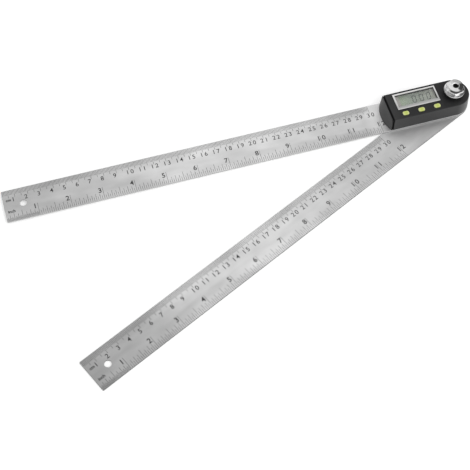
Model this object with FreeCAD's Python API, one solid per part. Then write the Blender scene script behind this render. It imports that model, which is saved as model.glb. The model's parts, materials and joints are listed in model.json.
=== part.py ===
import FreeCAD, Part
import math
import os

# Digital angle finder: two steel rules on one pivot, with a display head on the upper rule.
# The origin is on the pivot axis, in the plane of the lower rule's underside.
# The upper rule runs along -X, the lower one is turned about Z by the opening angle.
# Lengths are in millimetres and angles in degrees.

# Rules
blade_reach = 368.0
blade_thick = 1.2
blade_corner = 0.6
blade_edge_break = 0.12
hang_hole_diameter = 5.6
hang_hole_inset = 15.0
opening_angle = 24.5

# Clearances
overrun = 1.0
seat_gap = 0.05
running_gap = 0.04
slide_gap = 0.15
loose_gap = 0.3

# Pivot
friction_washer_thick = 0.2
friction_washer_diameter = 24.0
flange_diameter = 14.0
flange_thick = 0.6
key_diameter = 10.0
key_across_flats = 8.2
journal_diameter = 8.0
bush_wall = 1.5
bush_flange_width = 2.5
bush_flange_thick = 1.0
bush_neck = 1.0
spring_width = 2.0
spring_thick = 0.35
spring_height = 0.6
clip_thick = 0.6
clip_reach = 2.5
clip_groove_depth = 0.7
spindle_diameter = 6.0
spindle_flat_depth = 0.5
thread_diameter = 4.0
slot_width = 0.8
slot_depth = 1.2
thread_end_chamfer = 0.3
thread_recess = 2.2

# Encoder
rotor_rim_gap = 0.5
rotor_thick = 0.8
rotor_gap = 0.3
hub_flange_thick = 0.6
hub_flange_width = 2.5
hub_neck_wall = 1.4

# Head case
case_step = 0.05
case_draft = 1.1
case_wall = 1.5
case_top_wall = 1.9
case_top_fillet = 0.5
case_end_land = 7.4
case_end_bulge = 4.2
end_wall = 1.5
cover_lip = 0.2
cover_gap = 0.1
groove_width = 0.85
groove_depth = 1.0
base_plate_thick = 1.0

# Display
bezel_length = 36.1
bezel_width = 15.05
bezel_inset = 12.8
bezel_margin = 1.85
bezel_seat_depth = 0.3
bezel_proud = 0.5
bezel_rim = 1.3
bezel_sill_width = 1.4
bezel_sill_drop = 0.35
window_thick = 0.9
window_overlap = 0.6
window_ledge = 0.25
display_inset = 0.9
display_thick = 1.6
display_step = 1.8
display_gap = 0.2
zebra_height = 1.5
zebra_width = 1.6
zebra_end_gap = 1.0
holder_wall = 0.7

# Buttons
button_length = 5.2
button_width = 3.5
button_corner = 1.4
button_spacing = 13.4
button_row_shift = 0.15
button_gap = 2.6
button_edge_margin = 2.6
button_proud = 0.6
button_crown = 0.45
button_dish_diameter = 2.4
button_dish_depth = 0.2
button_rim = 0.5
button_rim_thick = 0.8
button_rim_gap = 0.1
button_stem_diameter = 2.4
button_hole_gap = 0.25
button_travel = 0.5
dome_pressed_height = 0.4
dome_foot_diameter = 4.6
dome_crown_diameter = 2.6
dome_thick = 0.12
dome_gap = 0.05

# Battery
cell_diameter = 20.0
cell_thick = 3.2
cell_step = 0.35
cell_step_width = 1.2
tray_floor = 0.7
tray_wall = 0.95
tray_lip = 2.3
cell_gap = 0.15
cover_foot_gap = 0.15
contact_width = 3.0
contact_thick = 0.2
contact_gap = 0.05
contact_room = 0.95
contact_pad = 2.5
contact_slot_gap = 0.5

# Circuit board
board_thick = 0.8
board_edge_gap = 0.3
board_hole_gap = 0.6
post_diameter = 3.4
board_screw_diameter = 1.6
board_screw_head_diameter = 3.2
board_screw_head_thick = 0.65
board_screw_depth = 2.4
chip_diameter = 7.0
chip_height = 1.0
chip_inset = 8.0
smd_length = 1.6
smd_width = 0.8
smd_height = 0.6
smd_spacing = 3.2
smd_count = 4

# Fasteners of the case
base_screw_diameter = 2.0
base_screw_head_diameter = 3.8
base_screw_head_height = 0.9
base_screw_depth = 4.0
base_boss_diameter = 3.8
cross_width = 0.35
cross_depth = 0.45

# Knob
boss_diameter = 14.4
boss_height = 3.0
boss_spigot_diameter = 10.0
boss_chamfer = 0.3
thrust_diameter = 15.2
thrust_thick = 0.8
thrust_lip_wall = 0.8
thrust_lip_height = 0.7
knob_flange_diameter = 16.8
knob_flange_thick = 0.9
knob_cone_height = 0.9
knob_across_flats = 12.9
knob_height = 6.0
knob_corner_chamfer = 0.4
knob_crown_height = 2.1
knob_crown_step = 0.05
knob_crown_lean = 0.4
knob_hole_countersink = 0.65
knob_turn = 11.3
knob_thread_gap = 0.05

# Widths across the head, which the rules share
tray_half_width = cell_diameter / 2 + cell_gap + tray_wall
inner_half_width = tray_half_width + slide_gap
contents_width = bezel_margin + bezel_width + button_gap + button_width + button_edge_margin
top_half_width = max(contents_width / 2, inner_half_width + case_wall - case_draft)
base_half_width = top_half_width + case_draft
blade_width = (base_half_width + case_step) * 2
blade_half = blade_width / 2

# Levels, from the table up
lower_top = blade_thick
upper_bottom = lower_top + friction_washer_thick
case_bottom = upper_bottom + blade_thick
plate_top = case_bottom + base_plate_thick
tray_bottom = plate_top + slide_gap
cell_bottom = tray_bottom + tray_floor
cell_top = cell_bottom + cell_thick
board_bottom = cell_top + contact_room
board_top = board_bottom + board_thick
display_bottom = board_top + zebra_height
display_top = display_bottom + display_thick
case_ceiling = display_top + display_gap
case_top = case_ceiling + case_top_wall
case_height = case_top - case_bottom
bezel_seat = case_top - bezel_seat_depth
bezel_top = case_top + bezel_proud
bezel_sill = bezel_top - bezel_sill_drop
window_bottom = bezel_seat - window_thick
bush_top = case_bottom + bush_flange_thick + bush_neck
clip_bottom = bush_top + spring_height
clip_top = clip_bottom + clip_thick
rotor_top = board_bottom - rotor_gap
rotor_bottom = rotor_top - rotor_thick
hub_bottom = rotor_bottom - hub_flange_thick
boss_top = case_top + boss_height
knob_bottom = boss_top + thrust_thick
knob_top = knob_bottom + knob_height
thread_top = knob_top - thread_recess

# Places along the head, negative towards the free end
bezel_near = -bezel_inset
bezel_far = bezel_near - bezel_length
bezel_centre_x = (bezel_near + bezel_far) / 2
head_end = bezel_far - case_end_land
cover_plane = head_end + cover_lip
cavity_end = cover_plane + end_wall
cell_x = cavity_end + cell_diameter / 2 + cell_gap
tray_end = cell_x + cell_diameter / 2 + cell_gap + tray_wall

# Places across the head
bezel_high = top_half_width - bezel_margin
bezel_low = bezel_high - bezel_width
bezel_centre_y = (bezel_high + bezel_low) / 2
button_y = bezel_low - button_gap - button_width / 2

# A snap dome is as much taller than when pressed as its button travels
dome_height = dome_pressed_height + button_travel


def case_half_at(level):
    # Half the width of the head at a level, outside.
    return base_half_width - case_draft * (level - case_bottom) / case_height


# Radii
rotor_radius = case_half_at(rotor_top) - case_wall - rotor_rim_gap
journal_radius = journal_diameter / 2
spindle_radius = spindle_diameter / 2
thread_radius = thread_diameter / 2
thread_tip_radius = thread_radius - thread_end_chamfer
bush_radius = journal_radius + running_gap + bush_wall
bush_flange_radius = bush_radius + bush_flange_width
groove_radius = journal_radius - clip_groove_depth
hub_neck_radius = spindle_radius + hub_neck_wall
boss_bore_radius = spindle_radius + running_gap
screw_head_radius = board_screw_head_diameter / 2
post_radius = post_diameter / 2
base_boss_radius = base_boss_diameter / 2


def cylinder(radius, low, high, x=0, y=0):
    return Part.makeCylinder(radius, high - low, FreeCAD.Vector(x, y, low))


def block(x_low, x_high, y_low, y_high, low, high):
    corner = FreeCAD.Vector(x_low, y_low, low)
    return Part.makeBox(x_high - x_low, y_high - y_low, high - low, corner)


def frustum(radius_low, radius_high, low, high, x=0, y=0):
    return Part.makeCone(radius_low, radius_high, high - low, FreeCAD.Vector(x, y, low))


def rounded_block(length, width, corner, low, high, x, y):
    bar = block(x - length / 2, x + length / 2, y - width / 2, y + width / 2, low, high)
    upright = [edge for edge in bar.Edges if edge.BoundBox.ZLength > (high - low) / 2]
    return bar.makeFillet(min(corner, width / 2 - seat_gap), upright)


def turned(profile):
    # A solid of revolution about Z from (radius, level) points.
    points = [FreeCAD.Vector(radius, 0, level) for radius, level in profile]
    face = Part.Face(Part.makePolygon(points + points[:1]))
    return face.revolve(FreeCAD.Vector(0, 0, 0), FreeCAD.Vector(0, 0, 1), 360)


def strip(profile, width, y):
    # A flat spring of one width, from the (x, level) points of its outline seen from the side.
    points = [FreeCAD.Vector(x, y - width / 2, level) for x, level in profile]
    face = Part.Face(Part.makePolygon(points + points[:1]))
    return face.extrude(FreeCAD.Vector(0, width, 0))


def cut_all(shape, tools):
    return shape.cut(Part.makeCompound(tools)) if tools else shape


def fuse_all(shape, others):
    for other in others:
        shape = shape.fuse(other)
    return shape.removeSplitter()


def opened(shape):
    # Everything on the lower rule is turned about the pivot by the opening angle.
    turned_shape = shape.copy()
    turned_shape.rotate(FreeCAD.Vector(0, 0, 0), FreeCAD.Vector(0, 0, 1), opening_angle)
    return turned_shape


def two_flats(diameter, across, low, high):
    bar = cylinder(diameter / 2, low, high)
    return bar.common(block(-diameter, diameter, -across / 2, across / 2, low, high))


def one_flat(radius, flat, low, high):
    return cylinder(radius, low, high).common(block(-radius, flat, -radius, radius, low, high))


# Rules

def blade(low):
    end = -blade_reach
    inner = end + blade_corner
    side = blade_half - blade_corner
    cut_corner = blade_corner * (1 - math.sqrt(0.5))
    points = {
        "a": (inner, -blade_half), "b": (0, -blade_half), "c": (0, blade_half),
        "d": (inner, blade_half), "e": (end, side), "f": (end, -side),
        "tip": (blade_half, 0),
        "de": (end + cut_corner, blade_half - cut_corner),
        "fa": (end + cut_corner, -blade_half + cut_corner),
    }
    p = {name: FreeCAD.Vector(x, y, low) for name, (x, y) in points.items()}
    edges = [
        Part.LineSegment(p["a"], p["b"]), Part.Arc(p["b"], p["tip"], p["c"]),
        Part.LineSegment(p["c"], p["d"]), Part.Arc(p["d"], p["de"], p["e"]),
        Part.LineSegment(p["e"], p["f"]), Part.Arc(p["f"], p["fa"], p["a"]),
    ]
    outline = Part.Wire([edge.toShape() for edge in edges])
    plate = Part.Face(outline).extrude(FreeCAD.Vector(0, 0, blade_thick))
    level = [edge for edge in plate.Edges if edge.BoundBox.ZLength < blade_edge_break]
    plate = plate.makeChamfer(blade_edge_break, level)
    hole_x = end + hang_hole_inset
    hole = cylinder(hang_hole_diameter / 2, low - overrun, low + blade_thick + overrun, hole_x)
    return plate.cut(hole)


def lower_blade():
    recess = cylinder(flange_diameter / 2 + seat_gap, -overrun, flange_thick)
    gap = seat_gap * 2
    key_hole = two_flats(key_diameter + gap, key_across_flats + gap, 0, lower_top + overrun)
    return opened(cut_all(blade(0), [recess, key_hole]))


def upper_blade():
    tools = [cylinder(bush_radius + seat_gap, upper_bottom - overrun, case_bottom + overrun)]
    head = base_screw_head_diameter / 2 + seat_gap
    shank = base_screw_diameter / 2 + seat_gap
    for x, y in base_screw_places():
        tools.append(cylinder(shank, upper_bottom, case_bottom + overrun, x, y))
        tools.append(frustum(head, shank, upper_bottom, upper_bottom + base_screw_head_height, x, y))
    return cut_all(blade(upper_bottom), tools)


def friction_washer():
    ring = cylinder(friction_washer_diameter / 2, lower_top, upper_bottom)
    return ring.cut(cylinder(key_diameter / 2 + seat_gap, lower_top - overrun, upper_bottom + overrun))


# Pivot stack

def pivot_shaft():
    shaft = fuse_all(cylinder(flange_diameter / 2, 0, flange_thick), [
        two_flats(key_diameter, key_across_flats, flange_thick, lower_top),
        cylinder(journal_radius, lower_top, hub_bottom),
        one_flat(spindle_radius, spindle_radius - spindle_flat_depth, hub_bottom, rotor_top),
        cylinder(spindle_radius, rotor_top, boss_top - thread_end_chamfer),
        cylinder(thread_radius, boss_top - thread_end_chamfer, thread_top - thread_end_chamfer),
        frustum(thread_radius, thread_tip_radius, thread_top - thread_end_chamfer, thread_top),
    ])
    groove = cylinder(journal_diameter, clip_bottom, clip_top)
    groove = groove.cut(cylinder(groove_radius, clip_bottom, clip_top))
    slot = block(-journal_radius, journal_radius, -slot_width / 2, slot_width / 2,
                 thread_top - slot_depth, thread_top + overrun)
    return opened(cut_all(shaft, [groove, slot]))


def pivot_bush():
    body = fuse_all(cylinder(bush_radius, upper_bottom, bush_top), [
        cylinder(bush_flange_radius, case_bottom, case_bottom + bush_flange_thick),
    ])
    return body.cut(cylinder(journal_radius + running_gap, upper_bottom - overrun, bush_top + overrun))


def spring_washer():
    inner = journal_radius + seat_gap
    outer = inner + spring_width
    rise = spring_height - spring_thick
    return turned([
        (outer, bush_top), (outer, bush_top + spring_thick),
        (inner, clip_bottom), (inner, bush_top + rise),
    ])


def retaining_clip():
    inner = groove_radius + seat_gap
    ring = cylinder(journal_radius + clip_reach, clip_bottom, clip_top)
    mouth = block(0, journal_diameter, -inner, inner, clip_bottom - overrun, clip_top + overrun)
    return opened(cut_all(ring, [cylinder(inner, clip_bottom - overrun, clip_top + overrun), mouth]))


def rotor_hub():
    flange = cylinder(hub_neck_radius + hub_flange_width, hub_bottom, rotor_bottom)
    hub = fuse_all(flange, [cylinder(hub_neck_radius, rotor_bottom, rotor_top)])
    bore_radius = spindle_radius + seat_gap
    bore = one_flat(bore_radius, bore_radius - spindle_flat_depth, hub_bottom - overrun, rotor_top + overrun)
    return opened(hub.cut(bore))


def encoder_rotor():
    disc = cylinder(rotor_radius, rotor_bottom, rotor_top)
    return disc.cut(cylinder(hub_neck_radius + seat_gap, rotor_bottom - overrun, rotor_top + overrun))


# Case

def case_outline(half, end, bulge, level):
    high = FreeCAD.Vector(end, half, level)
    low = FreeCAD.Vector(end, -half, level)
    shoulder_high = FreeCAD.Vector(0, half, level)
    shoulder_low = FreeCAD.Vector(0, -half, level)
    nose = FreeCAD.Vector(half, 0, level)
    if bulge:
        end_edge = Part.Arc(high, FreeCAD.Vector(end - bulge, 0, level), low).toShape()
    else:
        end_edge = Part.LineSegment(high, low).toShape()
    return Part.Wire([
        end_edge,
        Part.LineSegment(low, shoulder_low).toShape(),
        Part.Arc(shoulder_low, nose, shoulder_high).toShape(),
        Part.LineSegment(shoulder_high, high).toShape(),
    ])


def case_form(inset, end, low, high, bulge=0):
    # The tapered form of the head between two levels, inset from its outer sides.
    lower = case_outline(case_half_at(low) - inset, end, bulge, low)
    upper = case_outline(case_half_at(high) - inset, end, 0, high)
    return Part.makeLoft([lower, upper], True, True)


def case_solid():
    form = case_form(0, head_end, case_bottom, case_top, case_end_bulge)
    rim = [edge for edge in form.Edges
           if edge.BoundBox.ZMin > case_top - seat_gap and edge.BoundBox.XLength > seat_gap]
    return form.makeFillet(case_top_fillet, rim)


def base_screw_places():
    y = inner_half_width - base_boss_radius
    near_x = -(rotor_radius + loose_gap + base_boss_radius)
    far_x = tray_end + loose_gap + contact_pad
    return [(x, side * y) for x in (near_x, far_x) for side in (-1, 1)]


def board_post_places():
    far_x = cavity_end + post_radius + seat_gap
    far_y = button_y - loose_gap
    reach = rotor_radius + screw_head_radius + loose_gap
    near_y = case_half_at(case_ceiling) - case_wall - post_radius
    near_x = -math.sqrt(reach ** 2 - near_y ** 2)
    return [(far_x, far_y), (far_x, -far_y), (near_x, near_y), (near_x, -near_y)]


def button_places():
    middle = bezel_centre_x + button_row_shift
    return [middle + step * button_spacing for step in (-1, 0, 1)]


def button_form(margin, low, high, x):
    # The outline of a button, or one that stands off it by a margin, between two levels.
    return rounded_block(button_length + margin * 2, button_width + margin * 2, button_corner + margin,
                         low, high, x, button_y)


def bezel_opening(sill, low, high):
    # The room inside the bezel's rim, less a sill along its low side.
    return block(bezel_far + bezel_rim, bezel_near - bezel_rim,
                 bezel_low + bezel_rim + sill, bezel_high - bezel_rim, low, high)


def window_box(gap, low, high):
    room = bezel_opening(bezel_sill_width, low, high).BoundBox
    reach = window_overlap + gap
    return block(room.XMin - reach, room.XMax + reach, room.YMin - reach, room.YMax + reach, low, high)


def window_hole():
    # The opening under the window, whose edge is a ledge inside the bezel on three sides.
    low = case_ceiling - overrun
    high = window_bottom + overrun
    room = bezel_opening(bezel_sill_width, low, high).BoundBox
    return block(room.XMin + window_ledge, room.XMax - window_ledge,
                 room.YMin, room.YMax - window_ledge, low, high)


def head_housing():
    shell = case_solid()
    outside = block(head_end - case_end_land, cover_plane, -blade_width, blade_width,
                    case_bottom - overrun, case_top + overrun)
    groove = block(cover_plane, cover_plane + groove_width, -blade_width, blade_width,
                   case_bottom - overrun, case_top + overrun)
    groove = groove.cut(case_form(groove_depth, head_end, case_bottom - overrun, case_top - groove_depth))
    cavity = case_form(case_wall, cavity_end, case_bottom - overrun, case_ceiling)
    mouth_half = tray_half_width + slide_gap
    mouth = block(head_end, cavity_end + overrun, -mouth_half, mouth_half,
                  case_bottom - overrun, cell_top + slide_gap)
    seat = block(bezel_far - seat_gap, bezel_near + seat_gap, bezel_low - seat_gap, bezel_high + seat_gap,
                 bezel_seat, bezel_top)
    window = window_box(seat_gap, window_bottom, bezel_seat + overrun)
    spigot_hole = cylinder(boss_spigot_diameter / 2 + seat_gap, case_ceiling - overrun, case_top + overrun)
    shell = cut_all(shell, [outside, groove, cavity, mouth, seat, window, window_hole(), spigot_hole])
    holes = []
    for x in button_places():
        holes.append(button_form(button_hole_gap, case_ceiling - overrun, case_top + overrun, x))
    shell = cut_all(shell, holes)
    inner_case = case_form(case_wall / 2, cavity_end, case_bottom, case_top)
    for x, y in board_post_places():
        shell = shell.fuse(cylinder(post_radius, board_top, case_ceiling + seat_gap, x, y).common(inner_case))
    boss_top_level = board_bottom - loose_gap
    for x, y in base_screw_places():
        side = math.copysign(1, y)
        outer_y = side * base_half_width
        rib = block(x - base_boss_radius, x + base_boss_radius, min(y, outer_y), max(y, outer_y),
                    plate_top, boss_top_level)
        boss = cylinder(base_boss_radius, plate_top, boss_top_level, x, y).fuse(rib)
        shell = shell.fuse(boss.common(inner_case))
    pilots = []
    for x, y in board_post_places():
        pilots.append(cylinder(board_screw_diameter / 2 + seat_gap, board_top - overrun,
                               board_top + board_screw_depth, x, y))
    for x, y in base_screw_places():
        pilots.append(cylinder(base_screw_diameter / 2 + seat_gap, plate_top - overrun,
                               plate_top + base_screw_depth, x, y))
    return cut_all(shell, pilots).removeSplitter()


def base_plate():
    plate = case_form(case_wall + seat_gap, cavity_end + loose_gap, case_bottom, plate_top)
    tools = [cylinder(bush_flange_radius + seat_gap, case_bottom - overrun, plate_top + overrun)]
    screw_hole = base_screw_diameter / 2 + seat_gap
    for x, y in base_screw_places():
        tools.append(cylinder(screw_hole, case_bottom - overrun, plate_top + overrun, x, y))
    return cut_all(plate, tools)


def base_screws():
    screws = []
    shank = base_screw_diameter / 2
    head = base_screw_head_diameter / 2
    for x, y in base_screw_places():
        neck = upper_bottom + base_screw_head_height
        screw = frustum(head, shank, upper_bottom, neck, x, y)
        screw = screw.fuse(cylinder(shank, neck, plate_top + base_screw_depth - loose_gap, x, y))
        cross = [
            block(x - shank, x + shank, y - cross_width / 2, y + cross_width / 2,
                  upper_bottom - overrun, upper_bottom + cross_depth),
            block(x - cross_width / 2, x + cross_width / 2, y - shank, y + shank,
                  upper_bottom - overrun, upper_bottom + cross_depth),
        ]
        screws.append(cut_all(screw, cross).removeSplitter())
    return Part.makeCompound(screws)


# Display

def lcd_bezel():
    frame = block(bezel_far, bezel_near, bezel_low, bezel_high, bezel_seat, bezel_top)
    top_edges = [edge for edge in frame.Edges if edge.BoundBox.ZMin > bezel_top - seat_gap]
    frame = frame.makeChamfer(bezel_proud / 2, top_edges)
    return cut_all(frame, [
        bezel_opening(0, bezel_sill, bezel_top + overrun),
        bezel_opening(bezel_sill_width, bezel_seat - overrun, bezel_top + overrun),
    ])


def lcd_window():
    return window_box(0, window_bottom, bezel_seat)


def display_block(inset, low, high):
    return block(bezel_far + inset, bezel_near - inset, bezel_low + inset, bezel_high - inset, low, high)


def lcd_glass():
    middle = display_bottom + display_thick / 2
    back = display_block(display_inset, display_bottom, middle)
    front = block(bezel_far + display_inset, bezel_near - display_inset,
                  bezel_low + display_inset + display_step, bezel_high - display_inset, middle, display_top)
    return fuse_all(back, [front])


def lcd_holder():
    outer = display_block(display_inset - holder_wall, board_top, display_top)
    return outer.cut(display_block(display_inset - seat_gap, board_top - overrun, display_top + overrun))


def zebra_strips():
    inset = display_inset + zebra_end_gap
    strips = []
    for y in (bezel_low + inset, bezel_high - inset - zebra_width):
        strips.append(block(bezel_far + inset, bezel_near - inset, y, y + zebra_width,
                            board_top, display_bottom))
    return Part.makeCompound(strips)


# Buttons

def button(x):
    rim_top = case_ceiling - button_rim_gap
    rim_bottom = rim_top - button_rim_thick
    cap_top = case_top + button_proud
    cap = button_form(0, rim_top, cap_top, x)
    crown = [edge for edge in cap.Edges if edge.BoundBox.ZMin > case_top]
    cap = cap.makeFillet(button_crown, crown)
    dish_radius = ((button_dish_diameter / 2) ** 2 + button_dish_depth ** 2) / (button_dish_depth * 2)
    dish_centre = FreeCAD.Vector(x, button_y, cap_top - button_dish_depth + dish_radius)
    cap = cap.cut(Part.makeSphere(dish_radius, dish_centre))
    rim = button_form(button_rim, rim_bottom, rim_top, x)
    stem_bottom = board_top + dome_height + dome_gap
    stem = cylinder(button_stem_diameter / 2, stem_bottom, rim_bottom, x, button_y)
    return fuse_all(cap, [rim, stem])


def snap_dome(x):
    foot = dome_foot_diameter / 2
    crown = dome_crown_diameter / 2
    top = board_top + dome_height
    outside = frustum(foot, crown, board_top, top, x, button_y)
    inside = frustum(foot - dome_thick * 2, crown - dome_thick, board_top, top - dome_thick, x, button_y)
    return outside.cut(inside)


# Battery

def battery_cover():
    form = case_solid()
    behind = block(cover_plane - cover_gap, blade_half, -blade_width, blade_width,
                   case_bottom - overrun, case_top + overrun)
    foot = block(head_end - case_end_land, cover_plane, -blade_width, blade_width,
                 case_bottom - overrun, case_bottom + cover_foot_gap)
    cover = cut_all(form, [behind, foot])
    tray_start = cover_plane - cover_gap - cover_lip / 2
    tray = block(tray_start, tray_end, -tray_half_width, tray_half_width,
                 tray_bottom, cell_bottom + tray_lip)
    pocket = cylinder(cell_diameter / 2 + cell_gap, cell_bottom, cell_top + overrun, cell_x)
    slot_half = contact_width / 2 + contact_slot_gap
    slot = block(cell_x, tray_end + overrun, -slot_half, slot_half,
                 tray_bottom - overrun, cell_bottom + overrun)
    return cut_all(fuse_all(cover, [tray]), [pocket, slot])


def coin_cell():
    radius = cell_diameter / 2
    step_top = cell_bottom + cell_step
    can = cylinder(radius, step_top, cell_top, cell_x)
    lid = cylinder(radius - cell_step_width, cell_bottom, step_top, cell_x)
    return fuse_all(can, [lid])


def contact_positive():
    reach = cell_diameter / 4
    touch = cell_top + contact_gap
    pad_near = tray_end
    pad_far = pad_near - contact_pad
    return strip([
        (pad_near, board_bottom), (pad_far, board_bottom),
        (pad_far - reach, touch + contact_thick), (pad_far - reach - contact_pad, touch + contact_thick),
        (pad_far - reach - contact_pad, touch), (pad_far - reach, touch),
        (pad_far, board_bottom - contact_thick), (pad_near, board_bottom - contact_thick),
    ], contact_width, 0)


def contact_negative():
    leg = tray_end + loose_gap + contact_thick
    heel = tray_end - tray_wall
    touch = cell_bottom - contact_gap
    tip = cell_x + contact_pad
    return strip([
        (leg, board_bottom), (leg, plate_top), (heel, plate_top),
        (tip, touch - contact_thick), (tip, touch), (heel, plate_top + contact_thick),
        (leg - contact_thick, plate_top + contact_thick), (leg - contact_thick, board_bottom),
    ], contact_width, 0)


# Circuit board

def main_board():
    edge = case_wall + board_edge_gap
    half = case_half_at(board_top) - edge
    outline = case_outline(half, cavity_end + board_edge_gap, 0, board_bottom)
    board = Part.Face(outline).extrude(FreeCAD.Vector(0, 0, board_thick))
    holes = [cylinder(spindle_radius + board_hole_gap, board_bottom - overrun, board_top + overrun)]
    for x, y in board_post_places():
        holes.append(cylinder(board_screw_diameter / 2 + seat_gap, board_bottom - overrun,
                              board_top + overrun, x, y))
    return cut_all(board, holes)


def board_screws():
    screws = []
    head_bottom = board_bottom - board_screw_head_thick
    slot_top = board_bottom - board_screw_head_thick / 2
    shank_top = board_top + board_screw_depth - seat_gap
    for x, y in board_post_places():
        head = cylinder(screw_head_radius, head_bottom, board_bottom, x, y)
        shank = cylinder(board_screw_diameter / 2, board_bottom, shank_top, x, y)
        slot = block(x - screw_head_radius, x + screw_head_radius,
                     y - cross_width / 2, y + cross_width / 2, head_bottom - overrun, slot_top)
        screws.append(fuse_all(head, [shank]).cut(slot))
    return Part.makeCompound(screws)


def chip_cover():
    half = chip_diameter / 2
    radius = (half ** 2 + chip_height ** 2) / (chip_height * 2)
    centre = FreeCAD.Vector(bezel_centre_x + chip_inset, bezel_centre_y, board_top + chip_height - radius)
    cap = block(centre.x - half, centre.x + half, centre.y - half, centre.y + half,
                board_top, board_top + chip_height + overrun)
    return Part.makeSphere(radius, centre).common(cap)


def board_parts():
    row = bezel_centre_x - chip_inset
    parts = []
    for count in range(smd_count):
        x = row + (count - smd_count / 2) * smd_spacing
        parts.append(block(x, x + smd_length, bezel_centre_y, bezel_centre_y + smd_width,
                           board_top, board_top + smd_height))
    return Part.makeCompound(parts)


# Knob

def boss_ring():
    ring = cylinder(boss_diameter / 2, case_top, boss_top)
    crown = [edge for edge in ring.Edges if edge.BoundBox.ZMin > boss_top - seat_gap]
    ring = ring.makeChamfer(boss_chamfer, crown)
    body = fuse_all(ring, [cylinder(boss_spigot_diameter / 2, case_ceiling, case_top)])
    return body.cut(cylinder(boss_bore_radius, case_ceiling - overrun, boss_top + overrun))


def thrust_washer():
    lip_outer = spindle_radius + thrust_lip_wall
    ring = cylinder(thrust_diameter / 2, boss_top, knob_bottom)
    lip = cylinder(lip_outer, knob_bottom, knob_bottom + thrust_lip_height)
    bore = cylinder(spindle_radius, boss_top - overrun, knob_bottom + thrust_lip_height + overrun)
    return fuse_all(ring, [lip]).cut(bore)


def lock_knob():
    flange_top = knob_bottom + knob_flange_thick
    cone_top = flange_top + knob_cone_height
    corner_radius = knob_across_flats / 2 / math.cos(math.pi / 6)
    corners = [
        FreeCAD.Vector(corner_radius * math.cos(angle), corner_radius * math.sin(angle), knob_bottom)
        for angle in (math.radians(knob_turn + 60 * count) for count in range(7))
    ]
    hexagon = Part.Face(Part.makePolygon(corners)).extrude(FreeCAD.Vector(0, 0, knob_height))
    shoulder = knob_top - knob_crown_height
    crown_radius = knob_across_flats / 2 + knob_crown_step
    chamfer_bottom = shoulder - knob_corner_chamfer
    envelope = fuse_all(cylinder(corner_radius + overrun, knob_bottom, chamfer_bottom), [
        frustum(corner_radius, corner_radius - knob_corner_chamfer, chamfer_bottom, shoulder),
        frustum(crown_radius, crown_radius - knob_crown_lean, shoulder, knob_top),
    ])
    knob = fuse_all(hexagon.common(envelope), [
        cylinder(knob_flange_diameter / 2, knob_bottom, flange_top),
        frustum(knob_flange_diameter / 2, corner_radius, flange_top, cone_top),
    ])
    bore_radius = thread_radius + knob_thread_gap
    sink_radius = bore_radius + knob_hole_countersink
    lip_room = spindle_radius + thrust_lip_wall + seat_gap
    tools = [
        cylinder(bore_radius, knob_bottom - overrun, knob_top + overrun),
        frustum(bore_radius, sink_radius, knob_top - knob_hole_countersink, knob_top),
        cylinder(lip_room, knob_bottom - overrun, knob_bottom + thrust_lip_height + seat_gap),
    ]
    return cut_all(knob, tools)


button_names = ("power", "hold", "zero")
nodes = {
    "lower_blade": lower_blade(),
    "upper_blade": upper_blade(),
    "friction_washer": friction_washer(),
    "pivot_shaft": pivot_shaft(),
    "pivot_bush": pivot_bush(),
    "spring_washer": spring_washer(),
    "retaining_clip": retaining_clip(),
    "rotor_hub": rotor_hub(),
    "encoder_rotor": encoder_rotor(),
    "head_housing": head_housing(),
    "base_plate": base_plate(),
    "base_screws": base_screws(),
    "lcd_bezel": lcd_bezel(),
    "lcd_window": lcd_window(),
    "lcd_glass": lcd_glass(),
    "lcd_holder": lcd_holder(),
    "zebra_strips": zebra_strips(),
    "battery_cover": battery_cover(),
    "coin_cell": coin_cell(),
    "contact_positive": contact_positive(),
    "contact_negative": contact_negative(),
    "main_board": main_board(),
    "board_screws": board_screws(),
    "chip_cover": chip_cover(),
    "board_parts": board_parts(),
    "boss_ring": boss_ring(),
    "thrust_washer": thrust_washer(),
    "lock_knob": lock_knob(),
}
for name, place in zip(button_names, button_places()):
    nodes[name + "_button"] = button(place)
    nodes[name + "_dome"] = snap_dome(place)

os.makedirs("parts", exist_ok=True)
for name, shape in nodes.items():
    shape.exportStep("parts/" + name + ".step")
    print(name, "valid" if shape.isValid() else "INVALID", len(shape.Solids), round(shape.Volume, 2))
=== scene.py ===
import json
import math

import bmesh
import bpy
from mathutils import Euler, Matrix, Vector


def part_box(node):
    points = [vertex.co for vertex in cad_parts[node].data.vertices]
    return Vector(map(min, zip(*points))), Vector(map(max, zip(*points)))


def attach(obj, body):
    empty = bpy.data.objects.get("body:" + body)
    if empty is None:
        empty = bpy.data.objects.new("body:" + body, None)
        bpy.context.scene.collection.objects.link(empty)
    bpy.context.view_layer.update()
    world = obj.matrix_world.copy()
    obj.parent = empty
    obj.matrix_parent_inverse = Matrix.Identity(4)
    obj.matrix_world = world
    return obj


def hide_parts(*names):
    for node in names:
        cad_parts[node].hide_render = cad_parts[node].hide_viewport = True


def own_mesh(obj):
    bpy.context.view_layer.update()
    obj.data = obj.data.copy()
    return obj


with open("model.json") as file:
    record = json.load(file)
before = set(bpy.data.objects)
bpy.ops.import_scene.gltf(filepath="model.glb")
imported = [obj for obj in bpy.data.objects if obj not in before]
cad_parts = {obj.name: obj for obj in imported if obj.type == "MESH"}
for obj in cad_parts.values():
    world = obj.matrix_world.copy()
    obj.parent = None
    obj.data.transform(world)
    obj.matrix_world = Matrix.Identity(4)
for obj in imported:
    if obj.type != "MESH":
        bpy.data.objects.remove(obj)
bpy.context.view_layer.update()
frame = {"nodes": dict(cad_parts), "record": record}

# Lengths in this script are metres, so millimetres are written with MM
MM = 0.001
INCH = 25.4 * MM
MERGE_REACH = 0.001 * MM

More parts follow.
